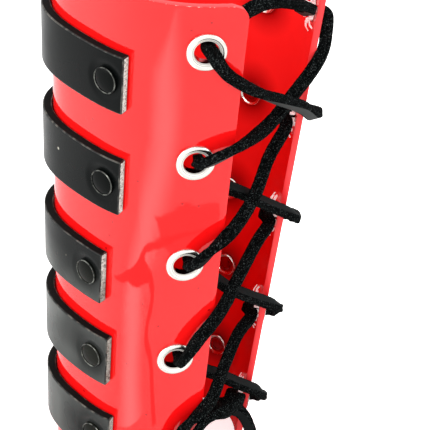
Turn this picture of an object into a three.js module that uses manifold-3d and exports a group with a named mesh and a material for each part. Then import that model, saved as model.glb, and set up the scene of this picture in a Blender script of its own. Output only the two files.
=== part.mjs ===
import * as THREE from 'three';
import { mergeVertices } from 'three/addons/utils/BufferGeometryUtils.js';
import Module from 'manifold-3d';

// A laced forearm gauntlet: one glossy sheet bent into a tapered tube that stays open along its front,
// five leather straps riveted round its back, eyelets along both free edges and one lace that draws them in.
// Millimetres. +Z runs up the tube from the wrist rim to the elbow rim, the lacing gap faces -Y,
// and the wrist rim stands on z = 0, with the origin under the middle of the standing gauntlet.

const wasm = await Module();
wasm.setup();

// The sheet
const LENGTH = 190;
const WALL = 2;
const TOP_RADIUS = 42;
const WRIST_RADIUS = 32.4;
const TOP_GAP = 44.7;
const WRIST_GAP = 29.4;
const CORNER = 5;

// How far the section strays from a circle, as shares of its radius: folds is the number of swells in a turn
const SWELLS = [
  { folds: 1, wrist: -0.02, top: 0 },
  { folds: 2, wrist: -0.036, top: 0 },
  { folds: 3, wrist: 0.017, top: 0.017 },
  { folds: 4, wrist: -0.021, top: -0.021 },
  { folds: 5, wrist: 0.027, top: 0.027 },
];

// Eyelets, in rows spread evenly between a margin at each end of the sheet
const ROWS = 5;
const TOP_MARGIN = 14.5;
const WRIST_MARGIN = 23.5;
const ROW_PITCH = (LENGTH - WRIST_MARGIN - TOP_MARGIN) / (ROWS - 1);
const EDGE_TO_EYELET = 12;
const RIGHT_ROW_DROP = 5;
const EYELET_WIDTH = 12;
const EYELET_HOLE = 7.5;
const EYELET_TUBE_WALL = 0.45;
const EYELET_RIM = 1.1;
const EYELET_BACK_WIDTH = 10.4;
const EYELET_BACK = 0.7;

// Straps, a row for each: the height of its middle as a share of the sheet's length, where its ends stop, in
// degrees round from the gap's middle, and where its right rivet sits, set by hand as every rivet was: its
// height as a share of the sheet's length, and its way in from the end as a share of the left rivet's
const STRAP_WIDTH = 19;
const STRAP_THICK = 3;
const STRAPS = [
  { up: 0.85, ends: 78.3, rightUp: 0.85, rightIn: 1 },
  { up: 0.6626, ends: 77.8, rightUp: 0.6716, rightIn: 1.15 },
  { up: 0.4705, ends: 85.8, rightUp: 0.4732, rightIn: 0.8 },
  { up: 0.3026, ends: 80.8, rightUp: 0.3153, rightIn: 0.83 },
  { up: 0.13, ends: 77.7, rightUp: 0.1358, rightIn: 0.92 },
];

// Rivets
const STRAP_END_TO_RIVET = 6;
const RIVET_CAP = 9;
const RIVET_CAP_RISE = 1.6;
const RIVET_SHANK = 3.2;
const RIVET_BACK = 8;
const RIVET_BACK_RISE = 0.9;

// Lace
const LACE = 3.5;
const LACE_SIDES = 8;

const FIT = 0.3;

// Facets
const SHEET_STEPS = 46;
const STRAP_STEPS = 32;
const EYELET_SIDES = 14;
const RIVET_SIDES = 10;
const DRILL_SIDES = 10;

const LEFT = -1;
const RIGHT = 1;
const OUT = new THREE.Vector3(0, 0, 1);

const lerp = THREE.MathUtils.lerp;
const radians = THREE.MathUtils.degToRad;

// The radius of the sheet's outer face at a turn from the gap's middle and a height
function radius(turn, z) {
  const up = z / LENGTH;
  const swell = SWELLS.reduce((sum, row) => sum + lerp(row.wrist, row.top, up) * Math.cos(row.folds * turn), 0);
  return meanRadius(z) * (1 + swell);
}

function meanRadius(z) {
  return lerp(WRIST_RADIUS, TOP_RADIUS, z / LENGTH);
}

// Half of the lacing gap, as a turn
function halfGap(z) {
  const wrist = WRIST_GAP / WRIST_RADIUS / 2;
  const top = TOP_GAP / TOP_RADIUS / 2;
  return lerp(wrist, top, z / LENGTH);
}

// A point that stands lift outside the sheet's outer face, measured straight off the face
function offSheet(turn, z, lift) {
  const step = 0.001;
  const here = new THREE.Vector2(Math.sin(turn), -Math.cos(turn)).multiplyScalar(radius(turn, z));
  const next = new THREE.Vector2(Math.sin(turn + step), -Math.cos(turn + step)).multiplyScalar(radius(turn + step, z));
  const along = next.sub(here).normalize();
  return new THREE.Vector3(here.x + along.y * lift, here.y - along.x * lift, z);
}

// The turn of a point that lies inset from a free edge into the sheet, on the left or right panel
function panelTurn(side, inset, z) {
  return side * (halfGap(z) + inset / meanRadius(z));
}

// A closed slab from two faces: place(across, up, face) gives a point, with face 0 inside and 1 outside
function slab(across, up, place) {
  const points = [];
  const index = (i, j, face) => (i * (up + 1) + j) * 2 + face;
  for (let i = 0; i <= across; i++) {
    for (let j = 0; j <= up; j++) {
      points.push(...place(i / across, j, 0).toArray(), ...place(i / across, j, 1).toArray());
    }
  }
  const faces = [];
  const quad = (a, b, c, d) => faces.push(a, b, c, a, c, d);
  for (let i = 0; i < across; i++) {
    for (let j = 0; j < up; j++) {
      quad(index(i, j, 1), index(i + 1, j, 1), index(i + 1, j + 1, 1), index(i, j + 1, 1));
      quad(index(i, j, 0), index(i, j + 1, 0), index(i + 1, j + 1, 0), index(i + 1, j, 0));
    }
    quad(index(i, 0, 0), index(i + 1, 0, 0), index(i + 1, 0, 1), index(i, 0, 1));
    quad(index(i, up, 0), index(i, up, 1), index(i + 1, up, 1), index(i + 1, up, 0));
  }
  for (let j = 0; j < up; j++) {
    quad(index(0, j, 0), index(0, j, 1), index(0, j + 1, 1), index(0, j + 1, 0));
    quad(index(across, j, 0), index(across, j + 1, 0), index(across, j + 1, 1), index(across, j, 1));
  }
  const geometry = new THREE.BufferGeometry();
  geometry.setAttribute('position', new THREE.Float32BufferAttribute(points, 3));
  geometry.setIndex(faces);
  return geometry;
}

function solid(geometry) {
  const bare = geometry.clone();
  bare.deleteAttribute('normal');
  bare.deleteAttribute('uv');
  const merged = mergeVertices(bare, 1e-4);
  return new wasm.Manifold(new wasm.Mesh({
    numProp: 3,
    vertProperties: new Float32Array(merged.attributes.position.array),
    triVerts: new Uint32Array(merged.index.array),
  }));
}

function geometryOf(manifold) {
  const mesh = manifold.getMesh();
  const geometry = new THREE.BufferGeometry();
  geometry.setAttribute('position', new THREE.BufferAttribute(mesh.vertProperties.slice(), 3));
  geometry.setIndex(new THREE.BufferAttribute(mesh.triVerts.slice(), 1));
  geometry.computeVertexNormals();
  return geometry;
}

// Turns a shape whose axis is +Z so that it stands straight off the sheet at that place
function seated(geometry, turn, z) {
  const foot = offSheet(turn, z, 0);
  const outward = offSheet(turn, z, 1).sub(foot).normalize();
  const lean = (TOP_RADIUS - WRIST_RADIUS) / LENGTH;
  outward.z = -lean;
  outward.normalize();
  const pose = new THREE.Matrix4().makeRotationFromQuaternion(new THREE.Quaternion().setFromUnitVectors(OUT, outward));
  pose.setPosition(foot);
  return geometry.clone().applyMatrix4(pose);
}

function turned(profile, sides) {
  const points = profile.map(([r, z]) => new THREE.Vector2(r, z));
  return new THREE.LatheGeometry(points, sides).rotateX(Math.PI / 2);
}

function drill(width, reach) {
  return turned([[0, -reach], [width / 2, -reach], [width / 2, reach], [0, reach]], DRILL_SIDES);
}

// Where the eyelets and rivets stand
const eyelets = [];
for (let row = 0; row < ROWS; row++) {
  for (const side of [LEFT, RIGHT]) {
    const drop = side === RIGHT ? RIGHT_ROW_DROP : 0;
    const z = LENGTH - TOP_MARGIN - row * ROW_PITCH - drop;
    const name = `eyelet_${side === LEFT ? 'left' : 'right'}_${row + 1}`;
    eyelets.push({ name, z, turn: panelTurn(side, EDGE_TO_EYELET, z) });
  }
}
const rivets = [];
STRAPS.forEach(({ up, ends, rightUp, rightIn }, row) => {
  for (const side of [LEFT, RIGHT]) {
    const z = (side === RIGHT ? rightUp : up) * LENGTH;
    const fromEnd = STRAP_END_TO_RIVET * (side === RIGHT ? rightIn : 1);
    const turn = side * (radians(ends) + fromEnd / meanRadius(z));
    rivets.push({ name: `rivet_${side === LEFT ? 'left' : 'right'}_${row + 1}`, row, z, turn });
  }
});

// The heights at which the sheet's rows of points lie, close together where the corners are round
function sheetHeights() {
  const shares = [0, 0.15, 0.5, 1];
  const low = shares.map((share) => share * CORNER);
  const middle = [1, 2, 3].map((k) => lerp(CORNER, LENGTH - CORNER, k / 4));
  const high = low.map((z) => LENGTH - z).reverse();
  return [...low, ...middle, ...high];
}

// How far a round corner cuts the free edge back at a height
function cornerCut(z) {
  const near = Math.min(z, LENGTH - z);
  if (near >= CORNER) return 0;
  return CORNER - Math.sqrt(CORNER ** 2 - (CORNER - near) ** 2);
}

function sheetGeometry() {
  const heights = sheetHeights();
  const body = slab(SHEET_STEPS, heights.length - 1, (across, j, face) => {
    const z = heights[j];
    const start = panelTurn(RIGHT, cornerCut(z), z);
    return offSheet(lerp(start, 2 * Math.PI - start, across), z, face ? 0 : -WALL);
  });
  let sheet = solid(body);
  const reach = WALL + 2;
  for (const { turn, z } of eyelets) {
    sheet = sheet.subtract(solid(seated(drill(EYELET_HOLE + 2 * (EYELET_TUBE_WALL + FIT), reach), turn, z)));
  }
  for (const { turn, z } of rivets) {
    sheet = sheet.subtract(solid(seated(drill(RIVET_SHANK + 2 * FIT, reach), turn, z)));
  }
  return geometryOf(sheet);
}

function strapGeometry({ up, ends }, row) {
  const half = STRAP_WIDTH / 2;
  const from = radians(ends);
  const body = slab(STRAP_STEPS, 1, (across, j, face) => {
    const turn = lerp(from, 2 * Math.PI - from, across);
    return offSheet(turn, up * LENGTH + (j ? half : -half), FIT + (face ? STRAP_THICK : 0));
  });
  let strap = solid(body);
  for (const rivet of rivets.filter((r) => r.row === row)) {
    const hole = drill(RIVET_SHANK + 2 * FIT, STRAP_THICK + 2);
    strap = strap.subtract(solid(seated(hole, rivet.turn, rivet.z)));
  }
  return geometryOf(strap);
}

// How far a round face falls away under a flat disc of that width
function sag(width, z) {
  return (width / 2) ** 2 / (2 * meanRadius(z));
}

function rivetGeometry(z) {
  const shank = RIVET_SHANK / 2;
  const cap = RIVET_CAP / 2;
  const back = RIVET_BACK / 2;
  const under = FIT + STRAP_THICK + FIT;
  const inner = -WALL - FIT - sag(RIVET_BACK, z);
  return turned([
    [0, inner - RIVET_BACK_RISE],
    [back * 0.8, inner - RIVET_BACK_RISE],
    [back, inner],
    [shank, inner],
    [shank, under],
    [cap, under],
    [cap, under + RIVET_CAP_RISE * 0.5],
    [cap * 0.8, under + RIVET_CAP_RISE],
    [0, under + RIVET_CAP_RISE],
  ], RIVET_SIDES);
}

function eyeletGeometry(z) {
  const hole = EYELET_HOLE / 2;
  const tube = hole + EYELET_TUBE_WALL;
  const rim = EYELET_WIDTH / 2;
  const back = EYELET_BACK_WIDTH / 2;
  const inner = -WALL - FIT - sag(EYELET_BACK_WIDTH, z);
  return turned([
    [hole, inner - EYELET_BACK],
    [back, inner - EYELET_BACK],
    [back, inner],
    [tube, inner],
    [tube, FIT],
    [rim, FIT],
    [rim, FIT + EYELET_RIM * 0.4],
    [lerp(hole, rim, 0.5), FIT + EYELET_RIM],
    [hole, FIT + EYELET_RIM * 0.4],
    [hole, inner - EYELET_BACK],
  ], EYELET_SIDES);
}

// The lace's route, chosen by hand, from one free end to the other. Each row is the side, how far in from
// that side's free edge (below 0 in the gap), how far off the sheet's outer face, and the height
const ROUTE = [
  [RIGHT, 9, 24, 1.8],
  [RIGHT, 2, 14, 1.9],
  [RIGHT, -3, 7, 5],
  [RIGHT, -4, 3.4, 14.5],
  [RIGHT, -5.9, -1.2, 23.1],
  [RIGHT, -14.5, -8.8, 28],
  [LEFT, -7, -7.5, 28.5],
  [LEFT, 3, -5.2, 26],
  [LEFT, 12, -5.8, 23.5],
  [LEFT, 12, 3.7, 23.5],
  [LEFT, 6.5, 3.7, 34],
  [LEFT, -1.5, 1.8, 42],
  [LEFT, -10, -1.8, 51.5],
  [RIGHT, -10, -5.2, 56.5],
  [RIGHT, 2, -4.8, 57.5],
  [RIGHT, 12, -5.8, 56.5],
  [RIGHT, 12, 3.7, 56.5],
  [RIGHT, 6, 3.8, 61],
  [RIGHT, 0, 2.5, 65.8],
  [RIGHT, -8, -3.4, 71.5],
  [LEFT, -11, -6.9, 80],
  [LEFT, 0, -4.7, 90],
  [LEFT, 12, -5.8, 99.5],
  [LEFT, 12, 3.7, 99.5],
  [LEFT, 6, 3.7, 105.5],
  [LEFT, -1.5, 1.9, 112],
  [LEFT, -11, -2.4, 119.5],
  [RIGHT, -14, -4.8, 129.5],
  [RIGHT, -1, -4.8, 132.8],
  [RIGHT, 12, -5.8, 132.5],
  [RIGHT, 12, 3.7, 132.5],
  [RIGHT, 5.5, 3.8, 134.8],
  [RIGHT, 0, 2.5, 137.8],
  [RIGHT, -8.5, -0.6, 144.5],
  [LEFT, -14, -1.6, 155.5],
  [LEFT, -1, 2.4, 164],
  [LEFT, 6.5, 3.7, 170],
  [LEFT, 12, 3.7, 175.5],
  [LEFT, 12, -5.8, 175.5],
  [LEFT, 3, -5.4, 180.5],
  [LEFT, -9, -6.6, 184],
  [RIGHT, -10, -6.4, 181],
  [RIGHT, 1, -5, 176.5],
  [RIGHT, 12, -5.8, 170.5],
  [RIGHT, 12, 3.7, 170.5],
  [RIGHT, 5, 3.8, 166],
  [RIGHT, 0.5, 2.9, 157.5],
  [RIGHT, -3.5, 0.2, 150.5],
  [RIGHT, -9, -5, 146.5],
  [LEFT, -15, -4.2, 146],
  [LEFT, -2, 2.2, 144],
  [LEFT, 6, 3.7, 141],
  [LEFT, 12, 3.7, 137.5],
  [LEFT, 12, -5.8, 137.5],
  [LEFT, 0, -4.7, 127],
  [LEFT, -12, -7, 118.5],
  [RIGHT, -9, -4, 107.5],
  [RIGHT, 0, 2.5, 102.3],
  [RIGHT, 6, 3.8, 98.5],
  [RIGHT, 12, 3.7, 94.5],
  [RIGHT, 12, -5.8, 94.5],
  [RIGHT, 1, -4.8, 95.5],
  [RIGHT, -10, -4.8, 94],
  [LEFT, -11, -2.6, 88.5],
  [LEFT, -1, 2.1, 79.5],
  [LEFT, 6.5, 3.7, 71.5],
  [LEFT, 12, 3.7, 61.5],
  [LEFT, 12, -5.8, 61.5],
  [LEFT, 0, -4.7, 52.5],
  [LEFT, -11, -6.6, 44],
  [RIGHT, -9, -4, 34],
  [RIGHT, 0, 2.5, 28.8],
  [RIGHT, 6, 3.8, 23.5],
  [RIGHT, 12, 3.7, 18.5],
  [RIGHT, 12, -5.8, 18.5],
  [RIGHT, 2, -5, 22.5],
  [RIGHT, -8, -3.4, 29.5],
  [LEFT, -13, -3, 30.5],
  [LEFT, -5.5, -0.2, 32.3],
  [LEFT, 1.2, 3.5, 32.8],
  [LEFT, 4.6, 4.6, 24],
  [LEFT, 4.4, 6.5, 9],
  [LEFT, 2, 13.5, 1.9],
  [LEFT, -2, 22, 1.8],
];

// A path that runs straight from each chosen point to the next, with a step at every point
class Route extends THREE.Curve {
  constructor(points) {
    super();
    this.points = points;
  }

  getPointAt(share) {
    return this.points[Math.round(share * (this.points.length - 1))].clone();
  }

  getTangentAt(share) {
    const here = Math.round(share * (this.points.length - 1));
    const leg = (from) => this.points[from + 1].clone().sub(this.points[from]).normalize();
    const legs = [here - 1, here].filter((from) => from >= 0 && from < this.points.length - 1).map(leg);
    return legs.reduce((sum, each) => sum.add(each)).normalize();
  }
}

function laceGeometry() {
  const points = ROUTE.map(([side, inset, lift, z]) => offSheet(panelTurn(side, inset, z), z, lift));
  const corners = [];
  for (let k = 0; k < LACE_SIDES; k++) {
    const angle = (k / LACE_SIDES) * 2 * Math.PI;
    corners.push(new THREE.Vector2(Math.cos(angle), Math.sin(angle)).multiplyScalar(LACE / 2));
  }
  const options = { steps: points.length - 1, bevelEnabled: false, extrudePath: new Route(points) };
  return new THREE.ExtrudeGeometry(new THREE.Shape(corners), options);
}

const red = new THREE.MeshStandardMaterial({ color: 0xfb3a38, roughness: 0.25, metalness: 0 });
const black = new THREE.MeshStandardMaterial({ color: 0x1f2322, roughness: 0.45, metalness: 0 });
const nickel = new THREE.MeshStandardMaterial({ color: 0xe1ded9, roughness: 0.25, metalness: 1 });
const cap = new THREE.MeshStandardMaterial({ color: 0x141616, roughness: 0.2, metalness: 0.3 });
const suede = new THREE.MeshStandardMaterial({ color: 0x111313, roughness: 0.8, metalness: 0 });

const group = new THREE.Group();

function add(name, geometry, material) {
  const mesh = new THREE.Mesh(geometry, material);
  mesh.name = name;
  group.add(mesh);
}

add('shell', sheetGeometry(), red);
STRAPS.forEach((strap, row) => add(`strap_${row + 1}`, strapGeometry(strap, row), black));
rivets.forEach(({ name, turn, z }) => add(name, seated(rivetGeometry(z), turn, z), cap));
eyelets.forEach(({ name, turn, z }) => add(name, seated(eyeletGeometry(z), turn, z), nickel));

// The origin goes to the middle of what stands, which the loose lace doesn't count in
const standing = new THREE.Box3();
group.children.forEach((mesh) => standing.expandByObject(mesh));
const middle = standing.getCenter(new THREE.Vector3());
add('lace', laceGeometry(), suede);
group.position.set(-middle.x, -middle.y, 0);

export default group;
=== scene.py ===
"""Looks of a laced forearm gauntlet: a glossy red sheet bent into a tapered tube, five black leather straps
riveted round it, nickel eyelets down both free edges and one flat black lace.

Lengths in the tables are millimetres, in the part's own frame: +Z runs up the tube and the gap faces -Y.
"""
import math

import bmesh
import bpy
from mathutils import Matrix, Vector, noise


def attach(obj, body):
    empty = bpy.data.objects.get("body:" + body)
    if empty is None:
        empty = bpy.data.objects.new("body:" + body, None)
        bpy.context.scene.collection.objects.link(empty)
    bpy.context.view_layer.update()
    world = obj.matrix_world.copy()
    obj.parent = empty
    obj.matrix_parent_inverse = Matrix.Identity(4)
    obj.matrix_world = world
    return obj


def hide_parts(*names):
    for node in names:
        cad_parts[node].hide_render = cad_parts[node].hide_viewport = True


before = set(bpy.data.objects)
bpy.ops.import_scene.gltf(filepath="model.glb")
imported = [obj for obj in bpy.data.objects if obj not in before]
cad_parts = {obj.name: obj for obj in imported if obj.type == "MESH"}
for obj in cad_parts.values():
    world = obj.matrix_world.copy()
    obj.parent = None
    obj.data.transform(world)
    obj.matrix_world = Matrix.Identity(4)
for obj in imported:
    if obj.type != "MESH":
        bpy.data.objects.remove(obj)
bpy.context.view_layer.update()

MM = 0.001
LEFT = -1
RIGHT = 1

# The sheet: its tapered tube, then its mesh's rounding, faces across and up, and its finishes by slot
LENGTH = 190
WALL = 2
TOP_RADIUS = 42
WRIST_RADIUS = 32.4
TOP_GAP = 44.7
WRIST_GAP = 29.4
CORNER = 5
SHEET_ROUND = 0.35
SHEET_ACROSS = 280
SHEET_UP = 158
SHEET_CUT, SHEET_LINING = 1, 2

# How far the section strays from a circle: swells in a turn, then their shares of the radius at wrist and top
SWELLS = [
    (1, -0.02, 0),
    (2, -0.036, 0),
    (3, 0.017, 0.017),
    (4, -0.021, -0.021),
    (5, 0.027, 0.027),
]
LEAN = (TOP_RADIUS - WRIST_RADIUS) / LENGTH

# Where the tube's axis stands, since the frame's origin is under the middle of the whole gauntlet
ORIGIN_SHIFT = (-0.00116, -3.11185)

# Eyelets: their rows, then how much wider the sheet's holes are and from how far its mesh is drawn to them
ROWS = 5
TOP_MARGIN = 14.5
WRIST_MARGIN = 23.5
ROW_PITCH = (LENGTH - WRIST_MARGIN - TOP_MARGIN) / (ROWS - 1)
EDGE_TO_EYELET = 12
RIGHT_ROW_DROP = 5
EYELET_HOLE = 7.5
HOLE_CLEAR = 0.75
HOLE_PULL = 1.5

# An eyelet's profile, as reach from its axis and height off the sheet, then for each side its word, how far
# its eyelets' fronts are drawn in and pressed flat, and the finish of their split backs
RING_STEPS = 56
RING_SPIN = 1.3
RING_BACK, RING_BARREL, RING_LIP, RING_GROOVE = 1, 2, 3, 4
BARREL_REACH, BARREL_TOP = 3.75, 0.25
GROOVE_INNER, GROOVE_OUTER, GROOVE_FLOOR = 4.18, 4.42, 0.5
LIP_REACH = 4.7
RING = [
    (3.6, -WALL - 0.4),
    (3.62, -0.6),
    (3.7, 0.2),
    (3.86, 0.62),
    (4.05, 0.84),
    (4.25, 0.9),
    (4.4, 0.86),
    (4.52, 0.9),
    (4.75, 1.05),
    (5.1, 1.16),
    (5.5, 1.1),
    (5.85, 0.86),
    (6.06, 0.48),
    (6.1, 0.1),
    (4.2, 0.15),
    (4.1, -WALL - 0.2),
    (3.6, -WALL - 0.4),
]
RING_SIDES = {LEFT: ("left", 1, 1, RING_BARREL), RIGHT: ("right", 0.86, 0.2, RING_BACK)}
PETALS = 13
PETAL_THICK = 0.2

# Straps, FIT off the sheet: the height of each one's middle as a share of the length, where its ends stop, in
# degrees, its right rivet's height as a share of the length and its way in as a share of the left rivet's
STRAP_WIDTH = 19
STRAP_THICK = 3
FIT = 0.3
STRAPS = [
    (0.85, 78.3, 0.85, 1),
    (0.6626, 77.8, 0.6716, 1.15),
    (0.4705, 85.8, 0.4732, 0.8),
    (0.3026, 80.8, 0.3153, 0.83),
    (0.13, 77.7, 0.1358, 0.92),
]
STRAP_END_TO_RIVET = 6
STRAP_ROUND = 0.4
STRAP_ACROSS = 330
STRAP_UP = 24
STRAP_END, STRAP_SIDE, STRAP_CORNER = 1, 2, 3
END_REACH = STRAP_WIDTH * 0.6

# How much painted light each strap gets, by its height as a share of the length: a painted reflection of the
# pale floor that greys the lower straps
PAINTED_LIGHT_SHARES = [
    (0, 0.7),
    (0.2, 0.7),
    (0.24, 0.85),
    (0.37, 0.85),
    (0.4, 1),
    (0.45, 0.85),
    (0.49, 0.15),
    (0.54, 0.05),
    (1, 0),
]

# Rivets: the dent that each one presses into its strap, the painted shade round its back on the inner face,
# and its profile, as reach from its axis and height off the sheet
DENT_DEEP = 0.5
DENT_FLAT = 4.4
DENT_END = 7
SHADE_FULL = 3.5
SHADE_END = 13
RIVET_STEPS = 40
CAP_RIM, BACK_RIM, BACK_DISC = 1, 2, 3
DISC_REACH = 3.1
RIM_INNER, RIM_OUTER, RIM_RISE = 3.86, 4.2, 0.8
CAP_FOOT = FIT + STRAP_THICK - DENT_DEEP
RIVET = [
    (0, CAP_FOOT + 1.12),
    (1.6, CAP_FOOT + 1.06),
    (2.9, CAP_FOOT + 0.9),
    (3.55, CAP_FOOT + 0.72),
    (3.75, CAP_FOOT + 0.66),
    (3.86, CAP_FOOT + 0.78),
    (4.0, CAP_FOOT + 0.9),
    (4.14, CAP_FOOT + 0.9),
    (4.28, CAP_FOOT + 0.74),
    (4.34, CAP_FOOT + 0.45),
    (4.3, CAP_FOOT + 0.1),
    (4.1, CAP_FOOT + 0.02),
    (1.6, CAP_FOOT + 0.02),
    (1.6, -WALL - 0.9),
    (3.6, -WALL - 0.25),
    (3.95, -WALL - 0.3),
    (4.12, -WALL - 0.6),
    (4.05, -WALL - 1.0),
    (3.8, -WALL - 1.22),
    (3.5, -WALL - 1.15),
    (3.28, -WALL - 0.8),
    (3.0, -WALL - 0.62),
    (1.5, -WALL - 0.78),
    (0, -WALL - 0.85),
]

# Lace: its section, how finely its path is sampled, how often path and twist are eased, and the scale and
# height of each noise in its nap
LACE_WIDE = 3.9
LACE_THICK = 3.0
LACE_ROUND = 0.5
LACE_STEP = 0.7
LACE_EASE = 12
TWIST_EASE = 40
LACE_NAP = [(900, 0.1), (2600, 0.07)]

# The knots that each of the three levels of a smooth path's spline spans
SPLINE_LEVELS = [[(0, 1), (1, 2), (2, 3)], [(0, 2), (1, 3)], [(1, 2)]]

# How much the knot swells the lace, by its place along the route's rows
BUNCHED = [(4, 1), (4.6, 1.55), (6, 1.55), (6.6, 1), (75, 1), (75.6, 1.55), (77.6, 1.55), (78.3, 1)]

# Where its grain face can look, then its route: side, inset from that side's edge, distance off the sheet,
# height and look
LOOKS = {
    "up": (-0.35, -0.3, 0.9),
    "flat": (0, 0, 1),
    "front": (-0.65, -0.65, -0.3),
    "low": (-0.5, -0.4, -0.75),
    "under": (0.1, 0.2, -1),
}
ROUTE = [
    (RIGHT, 9, 24, 1.8, "flat"),
    (RIGHT, 2, 14, 1.9, "flat"),
    (RIGHT, -3, 7, 5, "front"),
    (RIGHT, -4, 3.4, 14.5, "front"),
    (RIGHT, -5.9, -1.2, 23.1, "front"),
    (RIGHT, -14.5, -8.8, 28, "low"),
    (LEFT, -7, -7.5, 28.5, "under"),
    (LEFT, 3, -5.2, 26, "under"),
    (LEFT, 12, -5.8, 23.5, "low"),
    (LEFT, 12, 3.7, 23.5, "low"),
    (LEFT, 7, 3.6, 34.2, "low"),
    (LEFT, -1.8, 1.9, 41.8, "under"),
    (LEFT, -8.7, -2.2, 51.9, "under"),
    (RIGHT, -10.2, -6.4, 58.2, "under"),
    (RIGHT, 2.6, -4.2, 58.8, "under"),
    (RIGHT, 11.9, -5.7, 56.3, "under"),
    (RIGHT, 11.4, 3.7, 55.7, "up"),
    (RIGHT, 6, 3.8, 61, "up"),
    (RIGHT, 0, 2.5, 65.8, "up"),
    (RIGHT, -7.8, -3.4, 71.9, "up"),
    (LEFT, -11.1, -7.1, 81.3, "up"),
    (LEFT, 0.4, -4.9, 90.6, "up"),
    (LEFT, 9.6, -4.6, 97.6, "up"),
    (LEFT, 10.4, 3.5, 100.8, "low"),
    (LEFT, 6.2, 3.7, 105.6, "low"),
    (LEFT, -1.7, 2, 111.8, "under"),
    (LEFT, -11.2, -2.3, 119.3, "under"),
    (RIGHT, -13, -7, 128.5, "under"),
    (RIGHT, 0.5, -4.7, 134.4, "under"),
    (RIGHT, 12, -5.8, 132.8, "under"),
    (RIGHT, 12, 3.2, 135, "front"),
    (RIGHT, 7, 4.6, 136.4, "front"),
    (RIGHT, 0.6, 2.7, 138.9, "front"),
    (RIGHT, -8, -0.4, 145.4, "front"),
    (LEFT, -14.2, -1.6, 155.9, "low"),
    (LEFT, -1, 2.4, 164.1, "under"),
    (LEFT, 6.5, 3.7, 170.1, "under"),
    (LEFT, 10.7, 3.6, 176.3, "under"),
    (LEFT, 10.6, -5.6, 176.3, "under"),
    (LEFT, 4, -5.6, 181.9, "under"),
    (LEFT, -8.2, -7.1, 186.7, "under"),
    (RIGHT, -10.3, -6.4, 180.2, "under"),
    (RIGHT, 0.2, -4.2, 175, "under"),
    (RIGHT, 12, -5.8, 169.8, "under"),
    (RIGHT, 12, 1.9, 169.4, "under"),
    (RIGHT, 5.6, 2.3, 166, "under"),
    (RIGHT, 1.2, 2.2, 161.4, "under"),
    (RIGHT, -3.2, -0.2, 156.2, "under"),
    (RIGHT, -9, -3.6, 150.6, "under"),
    (LEFT, -15.6, -3.9, 145.2, "under"),
    (LEFT, -1.9, 2.2, 144, "low"),
    (LEFT, 6.2, 3.7, 141.3, "low"),
    (LEFT, 11, 3.5, 138.8, "low"),
    (LEFT, 9.6, -4.6, 135.6, "up"),
    (LEFT, 0.5, -4.6, 126.2, "up"),
    (LEFT, -12, -7, 118.5, "up"),
    (RIGHT, -8.4, -4, 108.5, "up"),
    (RIGHT, -0.3, 2.7, 102, "up"),
    (RIGHT, 5.4, 3.9, 97.4, "up"),
    (RIGHT, 12.1, 3.7, 94.6, "up"),
    (RIGHT, 12.1, -5.7, 94.6, "under"),
    (RIGHT, 1.6, -4.2, 97, "under"),
    (RIGHT, -10.1, -6, 95.7, "under"),
    (LEFT, -10.2, -2.8, 88.9, "under"),
    (LEFT, -1, 2.1, 79.7, "under"),
    (LEFT, 6.2, 3.6, 71, "under"),
    (LEFT, 10.6, 3.2, 62.2, "under"),
    (LEFT, 9.6, -4.6, 59.6, "up"),
    (LEFT, 0.3, -4.7, 52.1, "up"),
    (LEFT, -11.4, -6.6, 44.6, "up"),
    (RIGHT, -7.6, -4, 36, "up"),
    (RIGHT, 0.3, 2.5, 29, "up"),
    (RIGHT, 5.5, 4.3, 23.4, "up"),
    (RIGHT, 11.8, 3.9, 18.3, "up"),
    (RIGHT, 12, -5.8, 18.5, "under"),
    (RIGHT, 2, -5, 22.5, "under"),
    (RIGHT, -8, -3.4, 29.5, "under"),
    (LEFT, -13, -3, 30.5, "low"),
    (LEFT, -5.5, -0.2, 33.4, "low"),
    (LEFT, 1.2, 3.5, 34, "low"),
    (LEFT, 4.6, 4.6, 24, "front"),
    (LEFT, 4.4, 6.5, 9, "front"),
    (LEFT, 2, 13.5, 1.9, "flat"),
    (LEFT, -2, 22, 1.8, "flat"),
]

# Camera, fitted to the photograph: degrees, millimetres and pixels of its 430 x 430 frame
CAMERA_TURN = -55.8
CAMERA_RISE = 31.55
CAMERA_ROLL = 5.87
CAMERA_AWAY = 569.6
CAMERA_AIM = (13.03, 95.86)
FOCAL = 1716.2
CENTRE = (212.96, 216.06)
FRAME_SIDE = 430
SENSOR = 36

# Light: each lamp's place, width and height in metres and its power in watts, then the world and the floor
LAMP_AIM = (0, 0, 0.1)
LAMPS = [
    ("key", (-0.9, -0.5, 1.1), 0.8, 0.8, 9),
    ("side", (-0.75, 0.55, 0.35), 0.5, 0.9, 4),
    ("fill", (0.5, -1.1, 0.8), 0.8, 0.8, 4),
]
WORLD_BRIGHT = 1.5
FLOOR_SIZE = 6
FLOOR_LIFTED = 0.7


# Places on the tube
def mean_radius(z):
    return WRIST_RADIUS + (TOP_RADIUS - WRIST_RADIUS) * z / LENGTH


def radius(turn, z):
    up = z / LENGTH
    swell = sum((wrist + (top - wrist) * up) * math.cos(folds * turn) for folds, wrist, top in SWELLS)
    return mean_radius(z) * (1 + swell)


def half_gap(z):
    wrist = WRIST_GAP / WRIST_RADIUS / 2
    top = TOP_GAP / TOP_RADIUS / 2
    return wrist + (top - wrist) * z / LENGTH


def panel_turn(side, inset, z):
    return side * (half_gap(z) + inset / mean_radius(z))


def off_sheet(turn, z, lift):
    """A point that stands lift outside the sheet's outer face, in metres."""
    step = 0.001
    reach, next_reach = radius(turn, z), radius(turn + step, z)
    x, y = reach * math.sin(turn), -reach * math.cos(turn)
    next_x, next_y = next_reach * math.sin(turn + step), -next_reach * math.cos(turn + step)
    along = Vector((next_x - x, next_y - y)).normalized()
    return Vector((x + along.y * lift + ORIGIN_SHIFT[0], y - along.x * lift + ORIGIN_SHIFT[1], z)) * MM


def outward(turn, z):
    flat = off_sheet(turn, z, 1) - off_sheet(turn, z, 0)
    flat.normalize()
    return Vector((flat.x, flat.y, -LEAN)).normalized()


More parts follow.
